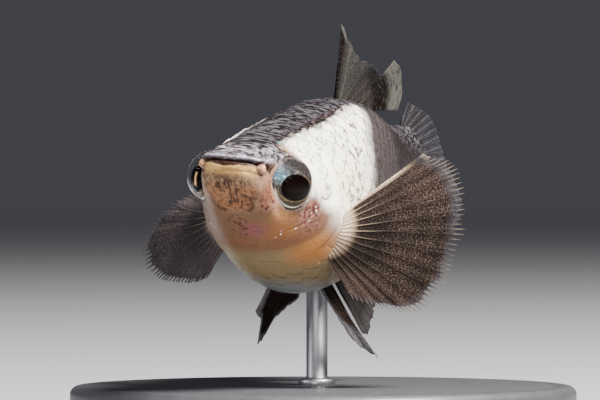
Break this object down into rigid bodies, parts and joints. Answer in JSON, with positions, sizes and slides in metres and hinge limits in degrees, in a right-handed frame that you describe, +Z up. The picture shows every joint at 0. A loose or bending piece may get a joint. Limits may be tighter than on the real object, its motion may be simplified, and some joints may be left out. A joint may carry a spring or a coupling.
{
  "type": "guppy",
  "caption": "Life-size male guppy of a big-ear strain, spread pectoral fins, held level on a plain round display stand.",
  "frame": {"origin": "centre of the underside of the stand's base", "axes": "+Z up; -Y the way the fish faces; +X to the fish's left"},
  "size_m": [0.026, 0.0403, 0.0208],
  "materials": {
    "skin": "pearly scales, grey-brown back, tan jaw and throat",
    "eye": "wet black pupil in a dark gold iris",
    "fin": "black speckled membrane with pale ray tips",
    "tail_fin": "pale grey membrane",
    "plinth": "satin dark grey",
    "rod": "brushed"
  },
  "bodies": {
    "root": {"head": "skin", "trunk": "skin", "tail_stalk": "skin", "eye_left": "eye", "eye_right": "eye", "pectoral_fin_left": "fin", "pectoral_fin_right": "fin", "pelvic_fin_left": "fin", "pelvic_fin_right": "fin", "dorsal_fin": "fin", "anal_fin": "tail_fin", "tail_fin": "tail_fin", "stand_base": "plinth", "stand_rod": "rod"}
  },
  "joints": []
}
